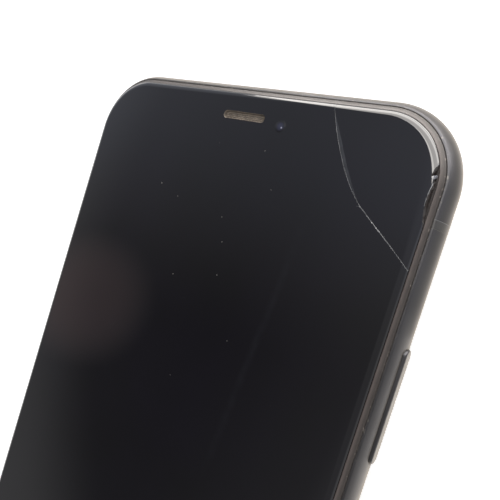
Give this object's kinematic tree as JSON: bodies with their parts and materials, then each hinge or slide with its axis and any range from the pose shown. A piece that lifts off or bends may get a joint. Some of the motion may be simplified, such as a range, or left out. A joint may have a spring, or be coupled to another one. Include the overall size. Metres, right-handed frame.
{
  "type": "smartphone",
  "caption": "Slab smartphone with a round-sided metal frame, notched display, cover glass cracked across one corner, side buttons, card tray and rear camera.",
  "frame": {"origin": "middle of the phone in plan, on the plane that the rear camera ring touches when it lies screen up", "axes": "+Z out of the screen, +Y to the earpiece end, +X to the side with the long button"},
  "size_m": [0.0764, 0.1508, 0.0092],
  "materials": {
    "anodised_aluminium": "fine blasted, dark anodised",
    "antenna_plastic": "satin",
    "bezel_plastic": "satin, worn",
    "cover_glass": "polished, cracked",
    "back_glass": "polished, black coating behind",
    "lens_glass": "coated",
    "display_black": "display switched off",
    "flash_plastic": "clear over yellow emitter",
    "black_plastic": "moulded",
    "seal_rubber": "matte",
    "earpiece_mesh": "woven, dusty",
    "steel": "stamped",
    "dark_steel": "plated",
    "copper": "enamelled winding",
    "circuit_board": "solder mask",
    "flex": "film",
    "battery_foil": "film over foil pouch"
  },
  "bodies": {
    "phone": {"frame": "anodised_aluminium", "antenna_strip_upper_right": "antenna_plastic", "antenna_strip_upper_left": "antenna_plastic", "antenna_strip_lower_right": "antenna_plastic", "antenna_strip_lower_left": "antenna_plastic", "mid_plate": "steel", "back_glass": "back_glass", "wireless_coil": "copper", "camera_ring": "anodised_aluminium", "camera_lens_cover": "lens_glass", "rear_camera_module": "black_plastic", "flash_lens": "flash_plastic", "battery": "battery_foil", "battery_tab": "flex", "main_board": "circuit_board", "shield_can_upper": "steel", "shield_can_lower": "steel", "connector_cover": "steel", "connector_cover_screw_1": "steel", "connector_cover_screw_2": "steel", "connector_cover_screw_3": "steel", "connector_cover_screw_4": "steel", "card_reader": "steel", "charging_port": "dark_steel", "charging_flex": "flex", "bottom_screw_right": "dark_steel", "bottom_screw_left": "dark_steel", "speaker_mesh": "black_plastic", "microphone_mesh": "black_plastic", "loudspeaker": "black_plastic", "vibration_motor": "dark_steel", "side_button_switch": "steel", "volume_up_switch": "steel", "volume_down_switch": "steel", "silent_switch_body": "black_plastic", "earpiece_mesh": "earpiece_mesh", "earpiece_speaker": "black_plastic", "front_camera": "lens_glass", "front_sensor_module": "black_plastic", "cover_glass": "cover_glass", "cover_glass_corner": "cover_glass", "display_bezel": "bezel_plastic", "display_seal": "seal_rubber", "display_panel": "display_black", "display_shield_plate": "steel", "display_flex": "flex"},
    "side_button": {"side_button": "anodised_aluminium"},
    "volume_up_button": {"volume_up_button": "anodised_aluminium"},
    "volume_down_button": {"volume_down_button": "anodised_aluminium"},
    "silent_switch": {"silent_switch_lever": "anodised_aluminium"},
    "card_tray": {"card_tray": "anodised_aluminium"}
  },
  "joints": [
    {"name": "side_button_press", "type": "slide", "parent": "phone", "child": "side_button", "axis": [-1, 0, 0], "range_m": [0, 0.00035], "stiffness_N_per_m": 4000},
    {"name": "volume_up_press", "type": "slide", "parent": "phone", "child": "volume_up_button", "axis": [1, 0, 0], "range_m": [0, 0.00035], "stiffness_N_per_m": 4000},
    {"name": "volume_down_press", "type": "slide", "parent": "phone", "child": "volume_down_button", "axis": [1, 0, 0], "range_m": [0, 0.00035], "stiffness_N_per_m": 4000},
    {"name": "silent_switch_slide", "type": "slide", "parent": "phone", "child": "silent_switch", "axis": [0, 0, -1], "range_m": [0, 0.0011]},
    {"name": "card_tray_slide", "type": "slide", "parent": "phone", "child": "card_tray", "axis": [1, 0, 0], "range_m": [0, 0.016]}
  ]
}
